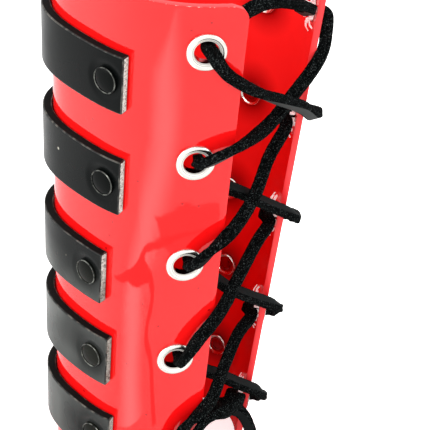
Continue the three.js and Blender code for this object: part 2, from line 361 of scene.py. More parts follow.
def seat(turn, z):
    """Stands +Z straight off the sheet at that place, with +Y up the tube."""
    out = outward(turn, z)
    across = Vector((0, 0, 1)).cross(out).normalized()
    pose = Matrix((across, out.cross(across), out)).transposed().to_4x4()
    pose.translation = off_sheet(turn, z, 0)
    return pose


def eyelet_places():
    for row in range(ROWS):
        for side, word in ((LEFT, "left"), (RIGHT, "right")):
            z = LENGTH - TOP_MARGIN - row * ROW_PITCH - (RIGHT_ROW_DROP if side == RIGHT else 0)
            yield f"{word}_{row + 1}", panel_turn(side, EDGE_TO_EYELET, z), z


def rivet_places():
    for row, (up, ends, right_up, right_in) in enumerate(STRAPS):
        for side, word, share, way_in in ((LEFT, "left", up, 1), (RIGHT, "right", right_up, right_in)):
            z = share * LENGTH
            turn = math.radians(ends) + STRAP_END_TO_RIVET * way_in / mean_radius(z)
            yield f"{word}_{row + 1}", side * turn, z


# Making and finishing pieces
def start(add, **settings):
    bpy.ops.object.select_all(action="DESELECT")
    add(**settings)
    return bpy.context.object


def grid(across, up):
    """A flat unit square of that many faces, to be bent into a plate."""
    return start(bpy.ops.mesh.primitive_grid_add, x_subdivisions=across, y_subdivisions=up, size=1)


def linked(name, data):
    thing = bpy.data.objects.new(name, data)
    bpy.context.scene.collection.objects.link(thing)
    return thing


def choose(piece):
    bpy.ops.object.select_all(action="DESELECT")
    piece.select_set(True)
    bpy.context.view_layer.objects.active = piece


def modify(piece, kind, **settings):
    choose(piece)
    bpy.ops.object.modifier_add(type=kind)
    modifier = piece.modifiers[-1]
    for name, value in settings.items():
        setattr(modifier, name, value)
    bpy.ops.object.modifier_apply(modifier=modifier.name)


def round_edges(piece, width, segments, material):
    settings = {"limit_method": "ANGLE", "angle_limit": math.radians(50), "material": material}
    modify(piece, "BEVEL", width=width * MM, segments=segments, **settings)


def smooth(piece, degrees):
    choose(piece)
    bpy.ops.object.shade_smooth_by_angle(angle=math.radians(degrees))


def settle(piece, name, cad_node):
    """Names the piece, hangs it under the root body and hides the CAD node that it stands for."""
    piece.name = piece.data.name = name
    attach(piece, "root")
    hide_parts(cad_node)


def copied(model, pose):
    piece = model.copy()
    piece.data = model.data.copy()
    piece.data.transform(pose)
    bpy.context.scene.collection.objects.link(piece)
    return piece


# Shader helpers
def node(tree, kind, inputs=None, **settings):
    made = tree.nodes.new(kind)
    for name, value in settings.items():
        setattr(made, name, value)
    for name, value in (inputs or {}).items():
        if isinstance(value, bpy.types.NodeSocket):
            tree.links.new(value, made.inputs[name])
        else:
            made.inputs[name].default_value = value
    return made


def group(name, inputs, outputs):
    """A new node group and, inside it, the sockets of its inputs and outputs. None stands for a vector."""
    tree = bpy.data.node_groups.new(name, "ShaderNodeTree")
    for each, value in inputs.items():
        kind = "NodeSocketVector" if value is None else "NodeSocketFloat"
        socket = tree.interface.new_socket(each, in_out="INPUT", socket_type=kind)
        if value is not None:
            socket.default_value = value
    for each in outputs:
        tree.interface.new_socket(each, in_out="OUTPUT", socket_type="NodeSocketFloat")
    return tree, node(tree, "NodeGroupInput").outputs, node(tree, "NodeGroupOutput").inputs


def use(tree, shared, **inputs):
    return node(tree, "ShaderNodeGroup", inputs, node_tree=shared).outputs


def math_node(tree, operation, a, b=0.0, clamp=False):
    return node(tree, "ShaderNodeMath", {0: a, 1: b}, operation=operation, use_clamp=clamp).outputs[0]


def times(tree, a, b, clamp=False):
    return math_node(tree, "MULTIPLY", a, b, clamp)


def ramp(tree, value, low, high, to_low=0.0, to_high=1.0):
    inputs = {"Value": value, "From Min": low, "From Max": high, "To Min": to_low, "To Max": to_high}
    return node(tree, "ShaderNodeMapRange", inputs).outputs["Result"]


def mix(tree, share, first, second):
    """first where share is 0, second where it is 1; both colours."""
    made = node(tree, "ShaderNodeMix", data_type="RGBA")
    for index, value in ((0, share), (6, first), (7, second)):
        if isinstance(value, bpy.types.NodeSocket):
            tree.links.new(value, made.inputs[index])
        else:
            made.inputs[index].default_value = value if index == 0 else (*value, 1)
    return made.outputs[2]


def clouds(tree, place, scale, detail, roughness=0.5):
    inputs = {"Vector": place, "Scale": scale, "Detail": detail, "Roughness": roughness}
    return node(tree, "ShaderNodeTexNoise", inputs).outputs["Fac"]


def cells(tree, place, scale):
    return node(tree, "ShaderNodeTexVoronoi", {"Vector": place, "Scale": scale}).outputs


def split(tree, vector):
    return node(tree, "ShaderNodeSeparateXYZ", {0: vector}).outputs


def own_uv(tree):
    return split(tree, node(tree, "ShaderNodeTexCoord").outputs["UV"])


def off_middle(tree, share):
    return math_node(tree, "ABSOLUTE", math_node(tree, "SUBTRACT", share, 0.5))


def material(name, roughness, metallic=0.0, specular=0.5, glow=0.0, glow_colour=(1, 1, 1)):
    """A new material, its tree, its shader's inputs and the place on the object that its textures follow."""
    made = bpy.data.materials.new(name)
    made.use_nodes = True
    tree = made.node_tree
    sockets = tree.nodes["Principled BSDF"].inputs
    sockets["Roughness"].default_value = roughness
    sockets["Metallic"].default_value = metallic
    sockets["Specular IOR Level"].default_value = specular
    sockets["Emission Color"].default_value = (*glow_colour, 1)
    sockets["Emission Strength"].default_value = glow
    return made, tree, sockets, node(tree, "ShaderNodeTexCoord").outputs["Object"]


def paint(tree, sockets, colour, height=None, bump=(0.3, 0.0002), roughness=None):
    """Links what varies; bump is its strength and its distance in metres."""
    tree.links.new(colour, sockets["Base Color"])
    if roughness is not None:
        tree.links.new(roughness, sockets["Roughness"])
    if height is not None:
        inputs = {"Height": height, "Strength": bump[0], "Distance": bump[1]}
        tree.links.new(node(tree, "ShaderNodeBump", inputs).outputs["Normal"], sockets["Normal"])


# Shared effects
def build_specks():
    """Small round spots, scattered: 1 inside a spot."""
    tree, given, result = group("specks", {"Vector": None, "Scale": 100, "Share": 0.1}, ["Mask"])
    spots = cells(tree, given["Vector"], given["Scale"])
    draw = node(tree, "ShaderNodeSeparateColor", {0: spots["Color"]}).outputs[0]
    chosen = math_node(tree, "LESS_THAN", draw, given["Share"])
    tree.links.new(times(tree, ramp(tree, spots["Distance"], 0.16, 0.08), chosen), result["Mask"])
    return tree


def build_grain():
    """A pebbled skin: its height, and a slow cloud that varies its tone."""
    tree, given, result = group("grain", {"Vector": None, "Scale": 1000}, ["Height", "Cloud"])
    pebbles = cells(tree, given["Vector"], given["Scale"])["Distance"]
    fine = clouds(tree, given["Vector"], given["Scale"], 3)
    slow = clouds(tree, given["Vector"], times(tree, given["Scale"], 0.05), 2)
    tree.links.new(times(tree, pebbles, fine), result["Height"])
    tree.links.new(slow, result["Cloud"])
    return tree


def build_wear():
    """Broken flecks that keep to a band: 1 in a fleck. Band is 1 at an edge and falls to 0 away from it."""
    inputs = {"Vector": None, "Scale": 700, "Band": 0, "Amount": 0.5}
    tree, given, result = group("wear", inputs, ["Mask"])
    breaks = clouds(tree, given["Vector"], given["Scale"], 4)
    limit = math_node(tree, "SUBTRACT", 1, times(tree, given["Band"], given["Amount"]))
    over = math_node(tree, "SUBTRACT", breaks, limit)
    tree.links.new(times(tree, over, 12, clamp=True), result["Mask"])
    return tree


SPECKS = build_specks()
GRAIN = build_grain()
WEAR = build_wear()


def edge_band(tree, width):
    """1 at a strap's edges and 0 from that share of its size inwards, read from its own UV map."""
    uv = own_uv(tree)
    far = math_node(tree, "MAXIMUM", off_middle(tree, uv["X"]), off_middle(tree, uv["Y"]))
    return ramp(tree, far, 0.5 - width, 0.5)


def rim_band(tree):
    """1 along the sheet's two rims and falling to 0 a millimetre away from them, read from its own UV map."""
    return ramp(tree, off_middle(tree, own_uv(tree)["Y"]), 0.496, 0.5)


def nearest_rivet(tree, place, lift):
    """How far the place is from the nearest rivet's axis, that far off the sheet's outer face, in metres."""
    least = 1.0
    for _, turn, z in rivet_places():
        inputs = {0: place, 1: off_sheet(turn, z, lift)}
        away = node(tree, "ShaderNodeVectorMath", inputs, operation="DISTANCE").outputs["Value"]
        least = math_node(tree, "MINIMUM", away, least)
    return least


def painted_light_share(tree, place):
    """How much painted light each strap gets: the two upper straps are deep black, the two lower ones greyed
    by a painted reflection of the pale floor.
    """
    share = ramp(tree, split(tree, place)["Z"], 0, LENGTH * MM)
    tone = node(tree, "ShaderNodeValToRGB", {"Fac": share})
    stops = tone.color_ramp.elements
    for at, _ in PAINTED_LIGHT_SHARES[1:-1]:
        stops.new(at)
    for stop, (at, value) in zip(stops, PAINTED_LIGHT_SHARES):
        stop.position = at
        stop.color = (value, value, value, 1)
    return tone.outputs["Color"]


# Finishes
def make_grained(name, scale, dark, pale, bump, roughness, polish=None, **shine):
    """A pebbled skin that clouds from dark to pale. polish is its roughness's range, where that varies."""
    made, tree, sockets, place = material(name, roughness, **shine)
    grain = use(tree, GRAIN, Vector=place, Scale=scale)
    rough = ramp(tree, grain["Cloud"], 0.3, 0.7, *polish) if polish else None
    paint(tree, sockets, mix(tree, grain["Cloud"], dark, pale), grain["Height"], bump, rough)
    return made


def make_rubbed(name, scale, detail, band, dark, pale, bump, roughness, nap=0.5, **shine):
    """Dark where the noise is under the band and pale above it. Without a bump it stays smooth."""
    made, tree, sockets, place = material(name, roughness, **shine)
    rubs = clouds(tree, place, scale, detail, nap)
    colour = mix(tree, ramp(tree, rubs, *band), dark, pale)
    paint(tree, sockets, colour, rubs if bump else None, bump)
    return made


def make_red():
    made, tree, sockets, place = material("red_gloss", 0.035, specular=0.42)
    cloud = use(tree, GRAIN, Vector=place, Scale=500)["Cloud"]
    colour = mix(tree, ramp(tree, cloud, 0.3, 0.7), (0.68, 0.003, 0.004), (0.76, 0.006, 0.006))
    pits = use(tree, SPECKS, Vector=place, Scale=260, Share=0.3)["Mask"]
    colour = mix(tree, times(tree, pits, 0.75), colour, (0.2, 0.001, 0.002))
    chips = use(tree, WEAR, Vector=place, Scale=900, Band=rim_band(tree), Amount=0.5)["Mask"]
    colour = mix(tree, chips, colour, (0.8, 0.5, 0.47))
    waves = clouds(tree, place, 22, 1.5)
    ripples = times(tree, clouds(tree, place, 260, 1), 0.012)
    height = math_node(tree, "ADD", waves, ripples)
    height = math_node(tree, "SUBTRACT", height, times(tree, pits, 0.03))
    paint(tree, sockets, colour, height, bump=(0.35, 0.0012))
    return made


def make_red_lining():
    """The sheet's inner face: the same red, deeper, painted brighter than the outer face and lighter and
    pinker towards the top as painted light, and darkened round the back of each rivet as painted shade.
    """
    made, tree, sockets, place = material("red_inner_face", 0.25, specular=0.1)
    cloud = use(tree, GRAIN, Vector=place, Scale=500)["Cloud"]
    # Painted light: the lining is painted brighter than the outer face, and lighter and pinker towards the
    # top.
    high = ramp(tree, split(tree, place)["Z"], 0.07, 0.17)
    deep = mix(tree, high, (0.86, 0.004, 0.004), (0.82, 0.016, 0.016))
    light = mix(tree, high, (0.92, 0.007, 0.007), (0.88, 0.026, 0.025))
    colour = mix(tree, ramp(tree, cloud, 0.3, 0.7), deep, light)
    # Painted shade: the lining darkens round the back of each rivet.
    near = ramp(tree, nearest_rivet(tree, place, -WALL), SHADE_END * MM, SHADE_FULL * MM)
    colour = mix(tree, math_node(tree, "POWER", near, 1.3), colour, (0.3, 0.001, 0.002))
    paint(tree, sockets, colour, clouds(tree, place, 60, 1), bump=(0.3, 0.0005))
    return made


def make_leather():
    """A strap's satin face: a painted reflection of the pale floor greys it, but painted shade keeps that off
    round each rivet's cap.
    """
    made, tree, sockets, place = material("black_leather", 0.3, specular=0.06)
    sockets["Sheen Weight"].default_value = 0.03
    sockets["Sheen Roughness"].default_value = 0.35
    sockets["Sheen Tint"].default_value = (0.93, 1, 0.97, 1)
    grain = use(tree, GRAIN, Vector=place, Scale=1600)
    patchy_cloud = clouds(tree, place, 45, 2)
    # Painted reflection: the lower straps grey with the pale floor that they mirror, in patches.
    painted_reflection = times(tree, painted_light_share(tree, place), ramp(tree, patchy_cloud, 0.35, 0.6, 0.7, 1.1), clamp=True)
    # Painted shade: near each rivet's cap the greying is held back, so the leather stays dark round it.
    wobble = times(tree, math_node(tree, "SUBTRACT", patchy_cloud, 0.5), 0.02)
    away = math_node(tree, "ADD", nearest_rivet(tree, place, FIT + STRAP_THICK), wobble)
    painted_reflection = times(tree, painted_reflection, ramp(tree, away, 0.007, 0.02, 0.2, 1))
    colour = mix(tree, painted_reflection, (0.001, 0.0016, 0.0016), (0.095, 0.1, 0.094))
    scuffs = use(tree, WEAR, Vector=place, Scale=1100, Band=edge_band(tree, 0.02), Amount=0.42)["Mask"]
    colour = mix(tree, times(tree, scuffs, 0.5), colour, (0.07, 0.075, 0.07))
    dots = use(tree, SPECKS, Vector=place, Scale=260, Share=0.012)["Mask"]
    colour = mix(tree, dots, colour, (0.35, 0.34, 0.28))
    roughness = ramp(tree, grain["Cloud"], 0.3, 0.7, 0.24, 0.36)
    paint(tree, sockets, colour, grain["Height"], bump=(0.12, 0.00015), roughness=roughness)
    return made


def make_raw_end():
    """A strap's cut end: pale fibres that run along it, broken by dark spots."""
    made, tree, sockets, place = material("raw_leather_end", 0.85, specular=0.2)
    stretched = node(tree, "ShaderNodeMapping", {"Vector": place, "Scale": (1, 1, 2.2)}).outputs["Vector"]
    fibres = clouds(tree, stretched, 950, 5, 0.75)
    spots = use(tree, SPECKS, Vector=place, Scale=1100, Share=0.4)["Mask"]
    # The cut ends darken on the lower straps, following the same share.
    pale = mix(tree, painted_light_share(tree, place), (0.62, 0.7, 0.64), (0.27, 0.3, 0.26))
    colour = mix(tree, ramp(tree, fibres, 0.4, 0.52), (0.05, 0.05, 0.042), pale)
    colour = mix(tree, times(tree, spots, 0.8), colour, (0.015, 0.015, 0.013))
    paint(tree, sockets, colour, fibres, bump=(0.9, 0.0005))
    return made


def make_lacquer():
    made, tree, sockets, place = material("black_lacquer", 0.14, specular=0.05)
    grain = use(tree, GRAIN, Vector=place, Scale=1400)
    # Painted reflection: the caps on the lower straps are greyer, by the same share as the straps' painted
    # reflection.
    colour = mix(tree, painted_light_share(tree, place), (0.001, 0.0016, 0.0014), (0.009, 0.0095, 0.007))
    roughness = ramp(tree, grain["Cloud"], 0.3, 0.7, 0.1, 0.22)
    paint(tree, sockets, colour, grain["Height"], bump=(0.1, 0.0001), roughness=roughness)
    return made


def make_lace_grain():
    """The lace's smooth face, which the photograph's light greys on its upper strands."""
    made, tree, sockets, place = material("lace_grain", 0.7, specular=0.03)
    grain = use(tree, GRAIN, Vector=place, Scale=1500)
    dark = mix(tree, grain["Cloud"], (0.003, 0.004, 0.004), (0.009, 0.011, 0.011))
    pale = mix(tree, grain["Cloud"], (0.035, 0.039, 0.038), (0.062, 0.067, 0.065))
    colour = mix(tree, ramp(tree, split(tree, place)["Z"], 0.128, 0.133), dark, pale)
    paint(tree, sockets, colour, grain["Height"], bump=(0.25, 0.0002))
    return made


def make_floor_paint():
    """A pale floor that is lifted towards white for the camera alone, so it lights nothing else."""
    made, tree, sockets, place = material("pale_floor", 0.6, specular=0.2)
    paint(tree, sockets, mix(tree, clouds(tree, place, 3, 2), (0.8, 0.8, 0.8), (0.83, 0.83, 0.83)))
    seen = node(tree, "ShaderNodeLightPath").outputs["Is Camera Ray"]
    tree.links.new(times(tree, seen, FLOOR_LIFTED), sockets["Emission Strength"])
    return made


# Camera
def add_camera():
    turn, rise, roll = (math.radians(v) for v in (CAMERA_TURN, CAMERA_RISE, CAMERA_ROLL))
    back = Vector((math.sin(turn) * math.cos(rise), -math.cos(turn) * math.cos(rise), math.sin(rise)))
    right = Vector((math.cos(turn), math.sin(turn), 0))
    up = back.cross(right)
    image_right = right * math.cos(roll) + up * math.sin(roll)
    image_up = up * math.cos(roll) - right * math.sin(roll)
    aim = Vector((ORIGIN_SHIFT[0], ORIGIN_SHIFT[1], CAMERA_AIM[1])) + right * CAMERA_AIM[0]
    data = bpy.data.cameras.new("camera")
    data.sensor_width = SENSOR
    data.lens = FOCAL / FRAME_SIDE * SENSOR
    data.shift_x = (FRAME_SIDE / 2 - CENTRE[0]) / FRAME_SIDE
    data.shift_y = (CENTRE[1] - FRAME_SIDE / 2) / FRAME_SIDE
    pose = Matrix((image_right, image_up, back)).transposed().to_4x4()
    pose.translation = (aim + back * CAMERA_AWAY) * MM
    camera = linked("camera", data)
    camera.matrix_world = pose
    bpy.context.scene.camera = camera


# Lace
def rounded_path(points, step):
    """A smooth line through the points, resampled about a step apart, with each sample's place along them."""
    line = []
    for i in range(len(points) - 1):
        before = points[max(i - 1, 0)]
        a, b = points[i], points[i + 1]
        after = points[min(i + 2, len(points) - 1)]
        knots = [0.0]
        for p, q in ((before, a), (a, b), (b, after)):
            knots.append(knots[-1] + max((q - p).length, 1e-6) ** 0.5)
        count = max(2, round((b - a).length / step))
        for k in range(count):
            t = knots[1] + (knots[2] - knots[1]) * k / count
            row = [before, a, b, after]
            for spans in SPLINE_LEVELS:
                row = [
                    row[j].lerp(row[j + 1], (t - knots[low]) / (knots[high] - knots[low]))
                    for j, (low, high) in enumerate(spans)
                ]
            line.append((row[0], i + k / count))
    line.append((points[-1], len(points) - 1.0))
    return line


def eased(values, passes):
    """The same values drawn a little towards their neighbours, which rounds every turn."""
    for _ in range(passes):
        inner = [(a + b * 2 + c) / 4 for a, b, c in zip(values, values[1:], values[2:])]
        values = [values[0], *inner, values[-1]]
    return values


def between(table, place):
    """The value at that place of a table of (place, value) rows, and 1 outside it."""
    for (low, first), (high, last) in zip(table, table[1:]):
        if low <= place <= high:
            return first + (last - first) * (place - low) / (high - low)
    return 1


def lace_section():
    """The strip's outline across its run, as places aside and towards its grain face."""
    wide, thick = LACE_WIDE / 2 - LACE_ROUND, LACE_THICK / 2 - LACE_ROUND
    section = []
    for quarter, (x, y) in enumerate(((1, 1), (-1, 1), (-1, -1), (1, -1))):
        for turn in (0, 45, 90):
            a = math.radians(90 * quarter + turn)
            section.append((x * wide + LACE_ROUND * math.cos(a), y * thick + LACE_ROUND * math.sin(a)))
        aside, up = section[-1]
        for share in (0.33, 0.67):
            if quarter % 2:
                section.append((aside, up - y * thick * 2 * share))
            else:
                section.append((aside - x * wide * 2 * share, up))
    return section


def grain_faces(tangents, shares):
    """Which way the grain face looks at each sample: it turns evenly from each row's look to the next."""
    carried = [tangents[0].orthogonal().normalized()]
    for before, after in zip(tangents, tangents[1:]):
        carried.append(before.rotation_difference(after) @ carried[-1])
    keys = []
    for k, (*_, word) in enumerate(ROUTE):
        look = Vector(LOOKS[word]).normalized()
        i = min(range(len(shares)), key=lambda n: abs(shares[n] - k))
        angle = math.atan2(look.dot(tangents[i].cross(carried[i])), look.dot(carried[i]))
        if keys:
            angle += round((keys[-1] - angle) / math.tau) * math.tau
        keys.append(angle)
    angles = []
    for share in shares:
        low = min(int(share), len(keys) - 2)
        angles.append(keys[low] + (keys[low + 1] - keys[low]) * (share - low))
    return [
        normal * math.cos(angle) + along.cross(normal) * math.sin(angle)
        for along, normal, angle in zip(tangents, carried, eased(angles, TWIST_EASE))
    ]


def lace_mesh(points, tangents, shares):
    section = lace_section()
    maker = bmesh.new()
    layer = maker.loops.layers.uv.new("strip")
    rings = []
    for point, along, face, share in zip(points, tangents, grain_faces(tangents, shares), shares):
        swell = between(BUNCHED, share)
        side = along.cross(face)
        ring = []
        for x, y in section:
            off = (side * x + face * y) * swell
            p = point + off * MM
            nap = sum(noise.noise(p * scale) * high for scale, high in LACE_NAP)
            ring.append(maker.verts.new(p + off.normalized() * nap * MM))
        rings.append(ring)
    grain_side = LACE_THICK / 2 - 0.01
    count = len(section)
    for i in range(len(rings) - 1):
        for j in range(count):
            k = (j + 1) % count
            made = maker.faces.new((rings[i][j], rings[i][k], rings[i + 1][k], rings[i + 1][j]))
            made.material_index = 1 if section[j][1] > grain_side and section[k][1] > grain_side else 0
            for loop, (u, v) in zip(made.loops, ((j, i), (j + 1, i), (j + 1, i + 1), (j, i + 1))):
                loop[layer].uv = (u / count, v / len(rings))
    maker.faces.new(list(reversed(rings[0])))
    maker.faces.new(rings[-1])
    bmesh.ops.recalc_face_normals(maker, faces=maker.faces)
    mesh = bpy.data.meshes.new("lace")
    maker.to_mesh(mesh)
    maker.free()
    return mesh


def add_lace():
    rows = [off_sheet(panel_turn(side, inset, z), z, lift) for side, inset, lift, z, _ in ROUTE]
    line = rounded_path(rows, LACE_STEP * MM)
    shares = [share for _, share in line]
    points = eased([p for p, _ in line], LACE_EASE)
    befores, afters = [points[0], *points], [*points[1:], points[-1]]
    tangents = [(after - before).normalized() for before, after in zip(befores, afters)]
    mesh = lace_mesh(points, tangents, shares)
    band, black, fleck = (0.555, 0.7), (0.0006, 0.001, 0.001), (0.1, 0.115, 0.115)
    suede = make_rubbed("lace_suede", 2200, 5, band, black, fleck, (0.9, 0.0005), 0.95, 0.75, specular=0.012)
    mesh.materials.append(suede)
    mesh.materials.append(make_lace_grain())
    lace = linked("lace_strip", mesh)
    smooth(lace, 50)
    settle(lace, "lace_strip", "lace")


# Sheet
def corner_cut(z):
    """How far the sheet's rounded corners draw its free edges back at that height."""
    near = min(z, LENGTH - z)
    if near >= CORNER:
        return 0
    return CORNER - math.sqrt(max(CORNER**2 - (CORNER - near) ** 2, 0))


def add_sheet():
    sheet = grid(SHEET_ACROSS, SHEET_UP)
    holes = [(turn % math.tau, z, radius(turn % math.tau, z)) for _, turn, z in eyelet_places()]
    bore = EYELET_HOLE / 2 + HOLE_CLEAR
    shape = bmesh.new()
    shape.from_mesh(sheet.data)
    flat = {}
    for vert in shape.verts:
        z = (vert.co.y + 0.5) * LENGTH
        first = panel_turn(RIGHT, corner_cut(z), z)
        flat[vert] = (first + (math.tau - 2 * first) * (vert.co.x + 0.5), z)
    inside = []
    for face in shape.faces:
        turn = sum(flat[v][0] for v in face.verts) / len(face.verts)
        z = sum(flat[v][1] for v in face.verts) / len(face.verts)
        if any(math.hypot((turn - hole) * reach, z - hole_z) < bore for hole, hole_z, reach in holes):
            inside.append(face)
    bmesh.ops.delete(shape, geom=inside, context="FACES")
    for vert in shape.verts:
        turn, z = flat[vert]
        for hole, hole_z, reach in holes if vert.is_boundary else ():
            x, y = (turn - hole) * reach, z - hole_z
            away = math.hypot(x, y)
            if away < bore + HOLE_PULL:
                turn, z = hole + x * (bore / away) / reach, hole_z + y * (bore / away)
        vert.co = off_sheet(turn, z, 0)
    shape.to_mesh(sheet.data)
    shape.free()
    dark, pale = (0.74, 0.012, 0.014), (0.8, 0.035, 0.04)
    cut = make_grained("red_cut_edge", 1500, dark, pale, (0.3, 0.0002), 0.45, specular=0.4)
    for finish in (make_red(), cut, make_red_lining()):
        sheet.data.materials.append(finish)
    finishes = {"material_offset": SHEET_LINING, "material_offset_rim": SHEET_CUT}
    modify(sheet, "SOLIDIFY", thickness=WALL * MM, offset=-1, **finishes)
    round_edges(sheet, width=SHEET_ROUND, segments=2, material=SHEET_CUT)
    smooth(sheet, 40)
    settle(sheet, "sheet", "shell")


# Straps
def dent(turn, z):
    """How far a strap is pressed in round its rivets, in millimetres."""
    deep = 0
    for _, rivet_turn, rivet_z in rivet_places():
        swing = math.remainder(turn - rivet_turn, math.tau)
        away = math.hypot(swing * radius(rivet_turn, rivet_z), z - rivet_z)
        if away < DENT_END:
            share = min(1, (DENT_END - away) / (DENT_END - DENT_FLAT))
            deep = DENT_DEEP * share * share * (3 - 2 * share)
    return deep


def add_strap(row, finishes):
    up, ends, *_ = STRAPS[row]
    middle = up * LENGTH
    first = math.radians(ends)
    strap = grid(STRAP_ACROSS, STRAP_UP)
    places = []
    for vert in strap.data.vertices:
        turn = first + (math.tau - 2 * first) * (vert.co.x + 0.5)
        z = middle + vert.co.y * STRAP_WIDTH
        places.append((turn, z))
        vert.co = off_sheet(turn, z, FIT)
    for finish in finishes:
        strap.data.materials.append(finish)
    thick = STRAP_THICK * MM
    modify(strap, "SOLIDIFY", thickness=thick, offset=1, use_even_offset=True, material_offset_rim=STRAP_SIDE)
    for vert in strap.data.vertices:
        turn, z = places[vert.index % len(places)]
        if (vert.co - off_sheet(turn, z, FIT)).length > thick / 2:
            vert.co -= outward(turn, z) * dent(turn, z) * MM
    for face in strap.data.polygons:
        for end_turn in (first, -first):
            end = outward(end_turn, middle).cross(Vector((0, 0, 1)))
            away = (face.center - off_sheet(end_turn, middle, STRAP_THICK / 2)).length
            if away < END_REACH * MM and abs(face.normal.dot(end)) > 0.9:
                face.material_index = STRAP_END
    round_edges(strap, width=STRAP_ROUND, segments=3, material=STRAP_CORNER)
    smooth(strap, 40)
    settle(strap, f"band_{row + 1}", f"strap_{row + 1}")


def add_straps():
    black, grey = (0.001, 0.0015, 0.0015), (0.008, 0.009, 0.0085)
    side = make_grained("dyed_strap_side", 1300, black, grey, (0.4, 0.0002), 0.75, specular=0.04)
    # Painted highlight as well as wear: the rounded strap edges are painted a broken pale grey, which draws
    # the thin light line along them.
    band, black, worn_and_highlight_grey = (0.46, 0.72), (0.005, 0.006, 0.0055), (0.11, 0.105, 0.09)
    worn_corner_and_highlight = make_rubbed("worn_strap_corner_and_painted_highlight", 420, 4, band, black, worn_and_highlight_grey, (0.3, 0.0002), 0.45, specular=0.2)
    finishes = make_leather(), make_raw_end(), side, worn_corner_and_highlight
    for row in range(len(STRAPS)):
        add_strap(row, finishes)


# Round pieces
def turned(profile, steps, finishes):
    """A closed round piece, spun about Z from (reach, height) pairs in millimetres."""
    piece = start(bpy.ops.mesh.primitive_plane_add, size=1)
    bpy.ops.object.mode_set(mode="EDIT")
    bpy.ops.mesh.select_all(action="SELECT")
    bpy.ops.mesh.delete(type="VERT")
    bpy.ops.object.mode_set(mode="OBJECT")
    piece.data.vertices.add(len(profile))
    for vert, (reach, height) in zip(piece.data.vertices, profile):
        vert.co = (reach * MM, 0, height * MM)
    piece.data.edges.add(len(profile) - 1)
    for i, edge in enumerate(piece.data.edges):
        edge.vertices = (i, i + 1)
    bpy.ops.object.mode_set(mode="EDIT")
    bpy.ops.mesh.select_all(action="SELECT")
    bpy.ops.mesh.spin(steps=steps, angle=math.tau, center=(0, 0, 0), axis=(0, 0, 1))
    bpy.ops.mesh.select_all(action="SELECT")
    bpy.ops.mesh.remove_doubles(threshold=0.00001)
    bpy.ops.mesh.normals_make_consistent(inside=False)
    bpy.ops.object.mode_set(mode="OBJECT")
    for finish in finishes:
        piece.data.materials.append(finish)
    return piece


def reach_and_height(face):
    return math.hypot(face.center.x, face.center.y) / MM, face.center.z / MM


def add_rivets(nickel, painted_reflection_metal):
    patchy = ((0.012, 0.013, 0.012), (0.17, 0.175, 0.155))
    rim = make_rubbed("rubbed_cap_rim", 500, 3, (0.42, 0.7), *patchy, None, 0.28, metallic=1.0)
    model = turned(RIVET, RIVET_STEPS, (make_lacquer(), rim, nickel, painted_reflection_metal))
    for face in model.data.polygons:
        reach, height = reach_and_height(face)
        if height < 0:
            face.material_index = BACK_DISC if reach < DISC_REACH else BACK_RIM
        elif RIM_INNER < reach < RIM_OUTER and height > CAP_FOOT + RIM_RISE:
            face.material_index = CAP_RIM
    smooth(model, 45)
    for name, turn, z in rivet_places():
        settle(copied(model, seat(turn, z)), f"stud_{name}", f"rivet_{name}")
    bpy.data.objects.remove(model)


def add_eyelets(nickel, barrel):
    chipped = ((0.75, 0.73, 0.72), (1, 1, 1))
    # Painted light: the split backs of the right eyelets glow faintly so that they read near white.
    shine = {"metallic": 0.2, "glow": 0.3, "glow_colour": (1, 0.97, 0.95)}
    torn_painted_glow = make_rubbed("torn_nickel_painted_glow", 900, 4, (0.4, 0.5), *chipped, (0.9, 0.0006), 0.35, **shine)
    bump = (0.1, 0.0001)
    scuffed, dirty = ((0.6, 0.59, 0.54), (0.88, 0.87, 0.82)), ((0.14, 0.13, 0.1), (0.34, 0.33, 0.28))
    lip = make_grained("scuffed_nickel", 1800, *scuffed, bump, 0.5, metallic=0.25)
    groove = make_grained("dirty_nickel", 1800, *dirty, bump, 0.45, metallic=0.5)
    for side, (word, narrow, squat, back) in RING_SIDES.items():
        profile = [
            (reach * narrow, height * squat) if height > 0 else (reach, height)
            for reach, height in RING
        ]
        model = turned(profile, RING_STEPS, (nickel, torn_painted_glow, barrel, lip, groove))
        for face in model.data.polygons:
            reach, height = reach_and_height(face)
            if height < BARREL_TOP and reach < BARREL_REACH:
                face.material_index = RING_BARREL
            elif side == LEFT and height > GROOVE_FLOOR and GROOVE_INNER < reach < GROOVE_OUTER:
                face.material_index = RING_GROOVE
            elif side == LEFT and height > BARREL_TOP and reach < LIP_REACH:
                face.material_index = RING_LIP
        add_petals(model, back)
        smooth(model, 50)
        for i, (name, turn, z) in enumerate(eyelet_places()):
            if name.startswith(word):
                spun = seat(turn, z) @ Matrix.Rotation(i * RING_SPIN, 4, "Z")
                settle(copied(model, spun), f"ring_{name}", f"eyelet_{name}")
        bpy.data.objects.remove(model)


